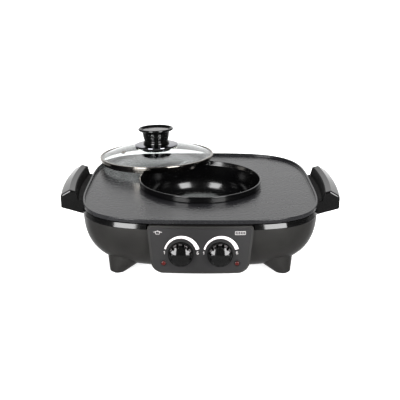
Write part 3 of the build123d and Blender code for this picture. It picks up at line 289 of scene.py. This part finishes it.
slot_materials = {
    "cast_nonstick": coating, "pot_nonstick": enamel, "lid_glass": glass, "lid_steel": steel,
    "chrome_trim": chrome, "knob_plastic": gloss, "gloss_black": gloss, "shell_plastic": satin,
    "panel_grey": panel_paint, "dial_plastic": gloss, "red_lens": lens, "bezel_plastic": matt_plastic,
    "rubber_black": rubber, "silicone": silicone, "heater_steel": heater, "ceramic": ceramic,
    "shield_aluminium": shield, "zinc_steel": zinc, "black_screw": black_screw,
    "phenolic_brown": phenolic, "brass_pin": brass, "wire_jacket": jacket, "cover_steel": cover,
}
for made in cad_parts.values():
    for place in made.material_slots:
        found = [key for key in slot_materials if place.material.name.startswith(key)]
        place.material = slot_materials[found[0]]


# Grill plate: lipped casting, its cooking face embossed in soft staggered cells up to the pot's opening
def scattered(column, row, first, second):
    """Numbers between -1 and 1 that look random but follow from the cell, for arrays of cells."""
    return np.modf(np.sin(column * first + row * second) * 4375.85)[0]


cell_shift = 0.25       # how far a cell's middle strays, as a share of the cell
cell_sharpness = 1.3


def dimples(x, y, wide, deep):
    """Height from 0 to 1 of a face embossed in cells wide by deep, for arrays of places."""
    row_here = np.floor(y / deep)
    nearest = np.full(x.shape, np.inf)
    for j in (-1, 0, 1):
        row = row_here + j
        x_shifted = x / wide + 0.5 * (row % 2)
        column_here = np.floor(x_shifted)
        for i in (-1, 0, 1):
            column = column_here + i
            across = x_shifted - column - 0.5 - cell_shift * scattered(column, row, 127.1, 311.7)
            along = y / deep - row - 0.5 - cell_shift * scattered(column, row, 269.5, 183.3)
            nearest = np.minimum(nearest, np.hypot(across, along))
    return 1 - np.clip(nearest * cell_sharpness, 0, 1) ** 2


plate_relief = 0.32
plate_cell_wide = 9.5
plate_cell_deep = 6.5
plate_under = 95.0
plate_wall_bottom = 99.5
plate_columns = 960
plate_rows = 92
plate_fade_rows = 3     # over which the relief dies out at the lip


def plate_form():
    """Rings from under the lip, over it and across the face to the opening, edge points as (inset, height)."""
    count = plate_columns
    edge = soften([
        (9.0, plate_under, 0), (7.0, plate_under, 0.8), (7.0, plate_wall_bottom, 0),
        (0.0, plate_wall_bottom, 0.5), (0.0, lip_top, 1.0), (3.3, lip_top, 0.8),
        (3.7, surface_top, 1.2), (9.0, surface_top, 0)])
    rings = []
    for inset, height in edge:
        rings.append([(*plan_point(2 * pi * j / count, inset), height) for j in range(count)])
    outer = np.array(rings[-1])
    angles = np.arctan2(outer[:, 1] - body_y - pot_y, outer[:, 0])
    inner_x = opening_radius * np.cos(angles)
    inner_y = body_y + pot_y + opening_radius * np.sin(angles)
    for step in range(1, plate_rows + 1):
        share = step / plate_rows
        x = outer[:, 0] * (1 - share) + inner_x * share
        y = outer[:, 1] * (1 - share) + inner_y * share
        fade = min(1.0, step / plate_fade_rows)
        z = surface_top + fade * plate_relief * (dimples(x, y, plate_cell_wide, plate_cell_deep) - 1)
        rings.append([tuple(point) for point in np.stack([x, y, z], axis=1).tolist()])
    rings.append([(x, y, plate_under) for x, y, z in rings[-1]])
    return rings_mesh(rings, closed_profile=True)


piece("plate_casting", plate_form(), coating, "plate", "grill_plate", slot="cast_nonstick")


# Pot: deep drawn bowl with a rolled rim that hangs on the plate, its floor embossed
pot_top = 112.4
pot_radius = 106.0
pot_corner = 46.0       # round of the bottom's edge
pot_wall = 1.6
pot_base = 34.0         # underside
pot_floor = 37.0
pot_floor_relief = 0.4
pot_floor_cell = 7.5
pot_floor_fade = 6.0    # width over which the relief dies out at the floor's edge


def pot_form():
    """Rings from under the bottom, up the outside, over the rim and down to the middle of the floor."""
    flat = pot_radius - pot_corner
    inner_radius = pot_radius - pot_wall
    inner_corner = pot_corner - pot_wall
    round_height = pot_base + pot_corner
    inner_height = pot_floor + inner_corner
    rim = soften([
        (pot_radius, round_height, 0), (pot_radius, 101.3, 1.0), (108.6, 101.3, 1.0), (108.6, 109.8, 0.5),
        (110, 109.8, 1.0), (110, pot_top, 1.2), (107.2, pot_top, 1.1), (inner_radius, 104.4, 4.0),
        (inner_radius, inner_height, 0)], steps=7)
    outside = []
    for angle in range(0, 90, 5):
        turn = radians(angle)
        outside.append((flat + pot_corner * sin(turn), round_height - pot_corner * cos(turn)))
    inside = []
    for angle in range(86, 0, -4):
        turn = radians(angle)
        inside.append((flat + inner_corner * sin(turn), inner_height - inner_corner * cos(turn)))
    floor_rings = [(flat - 1.5 * step, pot_floor) for step in range(41)]
    profile = [(0, pot_base), (flat - 2, pot_base)] + outside + rim + inside + floor_rings
    count = 256
    rings = []
    for radius, height in profile:
        radius = max(radius, tip_radius)
        x = radius * np.cos(2 * pi * np.arange(count) / count)
        y = radius * np.sin(2 * pi * np.arange(count) / count)
        z = np.full(count, float(height))
        if height == pot_floor:
            fade = min(1.0, (flat - radius) / pot_floor_fade)
            z = z + pot_floor_relief * fade * dimples(x, y, pot_floor_cell, pot_floor_cell)
        rings.append([tuple(point) for point in np.stack([x, y, z], axis=1).tolist()])
    return rings_mesh(rings)


pot_place = at(0, body_y + pot_y, 0)
verts, faces = pot_form()
piece("pot_drawn", (moved(verts, pot_place), faces), enamel, "pot", "pot", slot="pot_nonstick")


# Lid: its frame comes from the knob's disc, which is square to the lid's axis
def mesh_points(node):
    """Places of a CAD node's vertices, in millimetres."""
    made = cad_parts[node]
    return np.array([made.matrix_world @ v.co for v in made.data.vertices]) / mm


disc = mesh_points("lid_knob_insert")
lid_axis = Vector(np.linalg.svd(disc - disc.mean(0))[2][2])
if lid_axis.z < 0:
    lid_axis = -lid_axis
disc_middle = Vector(disc.mean(0))
foot = min(Vector(point).dot(lid_axis) for point in mesh_points("lid_ring"))
lid_origin = disc_middle + lid_axis * (foot - disc_middle.dot(lid_axis))
lid_right = Vector((lid_axis.z, 0, -lid_axis.x)).normalized()
lid_ahead = lid_axis.cross(lid_right)
lid_place = Matrix.Translation(lid_origin) @ Matrix((lid_right, lid_ahead, lid_axis)).transposed().to_4x4()


def lid_piece(name, profile, material, *nodes, closed=True, slot=None):
    """A piece turned about the lid's axis from points (radius, height above the lid's foot)."""
    verts, faces = turned(profile, 160, closed)
    return piece(name, (moved(verts, lid_place), faces), material, "lid", *nodes, slot=slot)


def dome(edge_radius, edge_height, rise, inner, steps=28):
    """Points from the edge of a round dome to a radius inner near its middle."""
    radius = (edge_radius ** 2 + rise ** 2) / (2 * rise)
    points = []
    for step in range(steps + 1):
        reach = edge_radius + (inner - edge_radius) * step / steps
        points.append((reach, edge_height + rise - radius + sqrt(radius ** 2 - reach ** 2)))
    return points


glass_edge = 105.4      # where the glass turns from its flat rim into its dome
glass_foot = 7.4
glass_top_edge = 11.4
glass_rise = 20.0
screw_hole = 2.7        # radius left open for the knob's screw
glass_profile = (
    [(glass_edge, glass_foot), (109.0, glass_foot), (109.6, 8.0), (109.6, 10.9), (109.2, 11.3)]
    + dome(glass_edge, glass_top_edge, glass_rise, inner=screw_hole)
    + list(reversed(dome(glass_edge, glass_foot, glass_rise, inner=screw_hole))))
lid_piece("lid_dome", glass_profile, glass, "lid_glass", slot="lid_glass")
ring_profile = soften([
    (glass_edge, 0, 0.25), (106.3, 0, 0.25), (107.2, 5.0, 0.8), (110.3, 5.7, 0.9), (110.5, 9.2, 0.3),
    (111.0, 9.5, 0.4), (111.0, 12.3, 1.45), (106.7, 12.3, 0.35), (106.6, 11.45, 0),
    (109.75, glass_top_edge, 0.3), (109.75, 7.5, 0.3), (106.3, 7.0, 0)], closed=True)
lid_piece("lid_band", ring_profile, steel, "lid_ring", slot="lid_steel")
crown = 33.4            # top of the chrome disc under the knob


def from_crown(points):
    """Points (radius, height above the crown) as heights above the lid's foot."""
    return [(radius, crown + height) for radius, height in points]


escutcheon_profile = from_crown([
    (screw_hole, -1), (screw_hole, 0), (18, 0), (24, -0.03), (29, -0.12), (34, -0.42), (38, -0.8),
    (40.2, -1.2), (41.3, -1.6), (41.8, -2.1), (41.9, -2.7), (41.7, -3.1), (41.2, -3.2), (40.9, -2.7),
    (40.2, -2.15), (38, -1.8), (34, -1.42), (29, -1.12), (24, -1.03)])
lid_piece("lid_escutcheon_dish", escutcheon_profile, chrome, "lid_escutcheon", slot="chrome_trim")
gasket_foot = crown - 5.0
gasket_top = crown - 3.3
gasket_profile = soften([
    (38.6, gasket_foot, 0.2), (41.2, gasket_foot, 0.4), (41.2, gasket_top, 0.4), (38.6, gasket_top, 0.2)],
    closed=True)
lid_piece("lid_escutcheon_gasket", gasket_profile, silicone)


def smooth_curve(points, steps=6):
    """Catmull-Rom curve through points, ends kept."""
    whole = [points[0]] + list(points) + [points[-1]]
    out = []
    for a, b, c, d in zip(whole, whole[1:], whole[2:], whole[3:]):
        for step in range(steps):
            t = step / steps
            out.append(tuple(
                0.5 * (2 * q + (r - p) * t + (2 * p - 5 * q + 4 * r - s) * t * t
                       + (3 * q - p - 3 * r + s) * t ** 3)
                for p, q, r, s in zip(a, b, c, d)))
    out.append(tuple(points[-1]))
    return out


knob_side = smooth_curve(from_crown([
    (24.4, 0.05), (25.4, 1.0), (25.5, 2.2), (24.6, 4.4), (23.3, 6.3), (23.4, 8.0), (24.5, 10.6), (25.3, 14.0),
    (25.9, 18.0), (26.6, 21.5), (28.0, 24.2), (31.0, 25.6), (33.4, 26.5), (34.2, 27.9), (33.9, 29.6),
    (32.7, 30.6), (31.2, 30.5)]))
knob_profile = from_crown([(2.6, 0.05)]) + knob_side + from_crown([
    (30.2, 29.8), (29.2, 27.6), (28.4, 26.6), (2.6, 26.6)])
lid_piece("lid_knob_turned", knob_profile, gloss, "lid_knob", slot="knob_plastic")
insert_profile = from_crown([
    (0.0, 26.65), (24.6, 26.65), (25.0, 27.0), (24.7, 27.5), (23.8, 27.7), (12.0, 27.78), (0.0, 27.8)])
lid_piece("lid_knob_disc", insert_profile, disc_metal, "lid_knob_insert", closed=False, slot="gloss_black")


# Upper band: a gloss strip that leans out a little, with soft edges, open where the control box stands
band_top = 98.0
band_foot = 89.5
band_shelf = 91.0       # the inner ledge, between here and the plate's underside
band_shelf_top = 94.7
band_gap_half = 85.0    # half the width left open for the control box


def band_form():
    """Closed section of corners (inset, height, round), carried round the plan but for the front's gap."""
    profile = soften([
        (1.0, band_top, 0.9), (-1.2, band_foot, 0.7), (6.0, band_foot, 0), (6.0, band_shelf, 0),
        (14.0, band_shelf, 0), (14.0, band_shelf_top, 0), (6.0, band_shelf_top, 0), (6.0, band_top, 0)],
        closed=True)
    count = 300
    start = atan2(-half_y, band_gap_half)
    sweep = pi - 2 * start
    verts = []
    faces = []
    size = len(profile)
    for j in range(count + 1):
        angle = start + sweep * j / count
        verts += [(*plan_point(angle, inset), height) for inset, height in profile]
    for j in range(count):
        for i in range(size):
            k = (i + 1) % size
            faces.append((j * size + i, j * size + k, (j + 1) * size + k, (j + 1) * size + i))
    faces.append(tuple(reversed(range(size))))
    faces.append(tuple(range(count * size, (count + 1) * size)))
    return verts, faces


piece("band_strip", band_form(), gloss, "base", "upper_frame", slot="gloss_black")

# Dials: domed front, tapering side cut by twelve flutes, thin skirt against the panel
tilt = radians(8)       # the panel leans back
panel_height = 54.5
panel_reach = 205.0     # in front of the body's middle
panel_bulge = 800.0     # radius of its curve
dial_spread = 30.5      # of each dial from the middle


def on_panel(x, up, out):
    """Matrix whose Z stands off the panel at a place x, up and out from its middle line."""
    turn = Matrix(((1, 0, 0, 0), (0, sin(tilt), -cos(tilt), 0), (0, cos(tilt), sin(tilt), 0), (0, 0, 0, 1)))
    return at(0, body_y - panel_reach, panel_height) @ turn @ at(x, up, out)


def panel_sag(x):
    """How far the bulged panel falls back at a place x from its middle."""
    return panel_bulge - sqrt(panel_bulge ** 2 - x ** 2)


flute_step = radians(30)
flute_start = radians(16)
flute_half = 1.8        # half its width, and the radius of its round end
flute_heart = 15.6      # radius at which the round end's centre lies
dial_front = 16.2       # radius of the domed front
dial_top = 16.4
dial_dome = 3.8         # height of the dome over that radius
skirt_top = 2.47        # the flutes stay above it


def flute_reach(angle, radius):
    """Radius of the dial at an angle once the flutes are cut into its side."""
    off = (angle - flute_start + flute_step / 2) % flute_step - flute_step / 2
    if radius * sin(abs(off)) >= flute_half:
        return radius
    round_end = sqrt(max(flute_half ** 2 - (flute_heart * sin(off)) ** 2, 0))
    return min(radius, flute_heart * cos(off) - round_end)


def dial_form():
    """Rings from the skirt to the middle of the dome, about the dial's own axis."""
    dome_radius = (dial_front ** 2 + dial_dome ** 2) / (2 * dial_dome)
    outline = [(19.4, 0.47), (19.8, 0.8), (19.8, 2.1), (19.5, 2.45), (18.8, 2.5), (18.6, 2.9), (17.4, 7.9),
               (16.5, 11.6), (dial_front, 12.3), (15.7, 12.95)]
    for step in range(1, 15):
        reach = 15.2 * (1 - step / 14)
        outline.append((reach, dial_top - dome_radius + sqrt(dome_radius ** 2 - reach ** 2)))
    count = 720
    rings = []
    for radius, height in outline:
        radius = max(radius, tip_radius)
        ring = []
        for j in range(count):
            angle = 2 * pi * j / count
            reach = flute_reach(angle, radius) if height > skirt_top else radius
            ring.append((reach * cos(angle), reach * sin(angle), height))
        rings.append(ring)
    return rings_mesh(rings, first_cap=True)


dial_verts, dial_faces = dial_form()
for side, x in (("pot", -dial_spread), ("grill", dial_spread)):
    place = on_panel(x, 0, 0)
    piece("dial_" + side + "_moulding", (moved(dial_verts, place), dial_faces), gloss, "dial_" + side,
          "dial_" + side, slot="dial_plastic", sharp=25)


# Handles: bars bent about an upright axis, with painted shade in matt black along the fingers' groove
handle_half_length = 75.9
handle_y = -8.0         # middle of the handle from the plan's middle
handle_pivot = -320.0   # x of the bend's axis, for the right handle
handle_end_round = 2.5
handle_heart = (221.0, 96.0)    # x and height that the ends' rounding draws in to
handle_thickness = 14.0         # of the bar about its heart
handle_clearance = 0.45


def plan_edge(y):
    """Reach of the body's plan from its middle line, at a distance y from its centre."""
    return half_x * (1 - (abs(y) / half_y) ** plan_power) ** (1 / plan_power)


def handle_form(side):
    """The bar's skin, the count of its section's points along the groove, and of all of them.

    The section's corners are (x, height, round) of the right handle at the bend's middle.
    """
    groove = soften([(196, 98.1, 0), (212, 99.7, 1.2), (215.5, 114.5, 1.0), (217.5, 115.0, 0)])
    shell = soften([
        (218.0, 115.2, 0), (226, 117.5, 1.6), (242, 108, 7.0), (242, 85.5, 1.5), (201.2, 74.5, 0.5),
        (196, 74.5, 0)])
    section = groove + shell
    ends = [handle_end_round * (1 - cos(radians(a))) for a in range(0, 91, 15)]
    along = [end - handle_half_length for end in ends]
    along += [-70 + 5 * step for step in range(29)]
    along += [handle_half_length - end for end in reversed(ends)]
    rings = []
    for t in along:
        y = handle_y + t
        near_end = max(0.0, handle_end_round - (handle_half_length - abs(t)))
        inset = handle_end_round - sqrt(handle_end_round ** 2 - near_end ** 2)
        shrink = 1 - inset / handle_thickness
        ring = []
        for x, height in section:
            x = handle_heart[0] + (x - handle_heart[0]) * shrink
            height = handle_heart[1] + (height - handle_heart[1]) * shrink
            reach = handle_pivot + sqrt((x - handle_pivot) ** 2 - y ** 2)
            ring.append((side * max(reach, plan_edge(y) + handle_clearance), body_y + y, height))
        rings.append(ring if side > 0 else list(reversed(ring)))
    return rings_mesh(rings, first_cap=True, last_cap=True), len(groove), len(section)


for name, side in (("left", -1), ("right", 1)):
    form, groove_count, count = handle_form(side)
    made = piece("handle_bar_" + name, form, gloss, "base", "handle_" + name, slot="gloss_black", sharp=24)
    # The groove's faces take the painted shade material
    made.data.materials.append(groove_painted_shade)
    for polygon in made.data.polygons:
        steps = [vertex % count for vertex in polygon.vertices]
        if side < 0:
            steps = [count - 1 - step for step in steps]
        if len(steps) == 4 and max(steps) < groove_count:
            polygon.material_index = 1


# Prints on the panel: a wedge that widens with the heat over each dial, plain numbers, and a small drawing of
# a pot and of a grill in the upper corners
print_top = 0.07
print_foot = -0.02


def print_piece(name, shapes, material):
    """Flat shapes of points (x, up) as thin solids that follow the panel's bulge."""
    verts = []
    faces = []
    for points in shapes:
        start = len(verts)
        count = len(points)
        for out in (print_foot, print_top):
            for x, up in points:
                verts.append(tuple(on_panel(x, up, out - panel_sag(x)) @ Vector((0, 0, 0))))
        faces.append(tuple(range(start + count, start + 2 * count)))
        faces.append(tuple(reversed(range(start, start + count))))
        for i in range(count):
            k = (i + 1) % count
            faces.append((start + i, start + k, start + count + k, start + count + i))
    return piece(name, (verts, faces), material, "base")


wedge_inner = 24.0
wedge_outer = 28.0
wedge_shift = 1.7       # of the outer arc, so the wedge widens to its right end
wedge_up = 1.0
wedge_steps = 40


def wedge(x):
    """Quadrilaterals between an inner arc and a shifted outer one, from 165 to 15 degrees."""
    inner = []
    outer = []
    for step in range(wedge_steps + 1):
        angle = radians(165 - 150 * step / wedge_steps)
        inner.append((x + wedge_inner * cos(angle), wedge_up + wedge_inner * sin(angle)))
        outer.append((x + wedge_shift + wedge_outer * cos(angle), wedge_up + wedge_outer * sin(angle)))
    return [[inner[i], inner[i + 1], outer[i + 1], outer[i]] for i in range(wedge_steps)]


def bar(x1, up1, x2, up2, width):
    """A straight stroke from one place to another."""
    along = Vector((x2 - x1, up2 - up1)).normalized() * width / 2
    aside = Vector((along.y, -along.x))
    return [(x1 - aside.x, up1 - aside.y), (x2 - aside.x, up2 - aside.y), (x2 + aside.x, up2 + aside.y),
            (x1 + aside.x, up1 + aside.y)]


# Strokes of plain numbers, from and to places (x, up) about their middle
number_strokes = {
    "1": [((-1.1, 1.2), (0.3, 2.2)), ((0.3, 2.35), (0.3, -2.35))],
    "6": [((1.2, 2.1), (-0.5, 2.1)), ((-0.5, 2.1), (-1.2, 1.3)), ((-1.2, 1.4), (-1.2, -1.4)),
          ((-1.2, -1.3), (-0.5, -2.1)), ((-0.6, -2.1), (0.6, -2.1)), ((0.5, -2.1), (1.2, -1.4)),
          ((1.2, -1.5), (1.2, -0.4)), ((1.2, -0.5), (0.5, 0.2)), ((0.6, 0.2), (-1.2, 0.2))],
}


number_width = 0.6
drawing_width = 0.5


def number(which, x, up):
    """Strokes of a number at a place on the panel."""
    return [bar(x + a[0], up + a[1], x + b[0], up + b[1], number_width) for a, b in number_strokes[which]]


number_prints = []
for side, x in (("pot", -dial_spread), ("grill", dial_spread)):
    print_piece("heat_wedge_" + side, wedge(x), print_ink)
    number_prints += number("1", x - 25.4, 1.9)
    number_prints += number("6", x + 26.3, 2.0)

# Lines of the two drawings, from and to places (x, up) on the panel
pot_lines = [
    (-70.4, 35.2, -62.2, 35.2), (-69.8, 35.0, -68.9, 31.2), (-62.8, 35.0, -63.7, 31.2),
    (-69.1, 31.1, -63.5, 31.1), (-73.0, 34.3, -69.9, 34.3), (-62.7, 34.3, -59.6, 34.3),
    (-67.4, 36.5, -65.2, 36.5)]
grate_low = 31.0
grate_high = 35.8
grate_left = 53.65
grate_step = 2.62
grate_lines = [(53.4, grate_low, 69.6, grate_low), (53.4, grate_high, 69.6, grate_high)]
for step in range(7):
    x = grate_left + grate_step * step
    grate_lines.append((x, grate_low, x, grate_high))
print_piece("panel_numbers", number_prints, fine_ink)
print_piece("panel_drawings", [bar(*line, drawing_width) for line in pot_lines + grate_lines], fine_ink)
# A short dark stroke above the pot dial's wedge, in matt black plastic
print_piece("dial_mark", [bar(-21.6, 29.4, -19.8, 34.8, 0.8)], matt_plastic)


# Floor
floor_material, tree, shader, place = new_material("white_table")
shader.inputs["Base Color"].default_value = linear("#f4f4f4")
shader.inputs["Roughness"].default_value = 0.6
shader.inputs["Emission Color"].default_value = linear("#ffffff")
shader.inputs["Emission Strength"].default_value = 0.85
floor_half = 30         # metres
floor_corners = [(-floor_half, -floor_half, 0), (floor_half, -floor_half, 0),
                 (floor_half, floor_half, 0), (-floor_half, floor_half, 0)]
floor_mesh = bpy.data.meshes.new("floor")
floor_mesh.from_pydata(floor_corners, [], [(0, 1, 2, 3)])
floor_mesh.materials.append(floor_material)
floor = bpy.data.objects.new("floor", floor_mesh)
bpy.context.scene.collection.objects.link(floor)
floor.visible_glossy = False

# Camera: its place in metres and its turns in radians, fitted to the photo
camera_place = (-0.00568, -1.2014, 0.4924)
yaw = 0.0046
pitch = 0.3399
roll = 0.0058
forward = Vector((sin(yaw) * cos(pitch), cos(yaw) * cos(pitch), -sin(pitch)))
across = Vector((cos(yaw), -sin(yaw), 0))
up = across.cross(forward)
right = across * cos(roll) + up * sin(roll)
upward = -across * sin(roll) + up * cos(roll)
lens_data = bpy.data.cameras.new("camera")
lens_data.lens = 62.631
lens_data.sensor_width = 36
lens_data.clip_end = 100
camera = bpy.data.objects.new("camera", lens_data)
turn = Matrix((right, upward, -forward)).transposed().to_4x4()
camera.matrix_world = Matrix.Translation(camera_place) @ turn
bpy.context.scene.collection.objects.link(camera)
bpy.context.scene.camera = camera

# World: bright low behind and in a patch above that, dark in front and overhead, white to the camera itself
world = bpy.data.worlds.new("studio")
bpy.context.scene.world = world
world.use_nodes = True
tree = world.node_tree
tree.nodes.clear()
sky = add_node(tree, "ShaderNodeTexCoord")
parts = add_node(tree, "ShaderNodeSeparateXYZ", {0: sky.outputs["Generated"]})


def smooth(value, start, end, low, high):
    """Value eased from start..end to low..high."""
    return add_node(tree, "ShaderNodeMapRange", {
        "Value": value, "From Min": start, "From Max": end, "To Min": low, "To Max": high},
        interpolation_type="SMOOTHSTEP").outputs["Result"]


back_light = smooth(parts.outputs["Y"], 0.55, 0.85, 0.0, 1.0)
below = smooth(parts.outputs["Z"], -0.05, 0.02, 0.3, 0.04)
over_back = smooth(parts.outputs["Y"], 0.45, 0.7, 0.0, 1.1)
high_back = smooth(parts.outputs["Z"], 0.45, 0.6, 0.0, 1.0)


def combined(first, second, operation):
    """Two values joined by a math operation."""
    return add_node(tree, "ShaderNodeMath", {0: first, 1: second}, operation=operation).outputs[0]


seen = add_node(tree, "ShaderNodeLightPath").outputs["Is Camera Ray"]
total = combined(combined(back_light, below, "ADD"), combined(over_back, high_back, "MULTIPLY"), "ADD")
shown = combined(total, seen, "MAXIMUM")
background = add_node(tree, "ShaderNodeBackground", {"Color": (1, 1, 1, 1), "Strength": shown})
add_node(tree, "ShaderNodeOutputWorld", {"Surface": background.outputs[0]})


def softbox(name, place, target, wide, tall, power):
    """A rectangular area light that faces target. Lengths are in metres, power in watts."""
    data = bpy.data.lights.new(name, "AREA")
    data.shape = "RECTANGLE"
    data.size = wide
    data.size_y = tall
    data.energy = power
    made = bpy.data.objects.new(name, data)
    bpy.context.scene.collection.objects.link(made)
    made.matrix_world = Matrix.Translation(place) @ (
        Vector(place) - Vector(target)).to_track_quat("Z", "Y").to_matrix().to_4x4()
    return made


softbox_height = 0.76
for name, side in (("left_softbox", -1), ("right_softbox", 1)):
    softbox(name, (side * 1.007, -1.492, softbox_height), (0, 0, softbox_height), 0.765, 1.4, 45)
ceiling = softbox("ceiling_light", (0, 0.1, 2.0), (0, 0, 0.1), 1.6, 1.6, 40)
ceiling.visible_glossy = False

bpy.context.scene.view_settings.view_transform = "Standard"
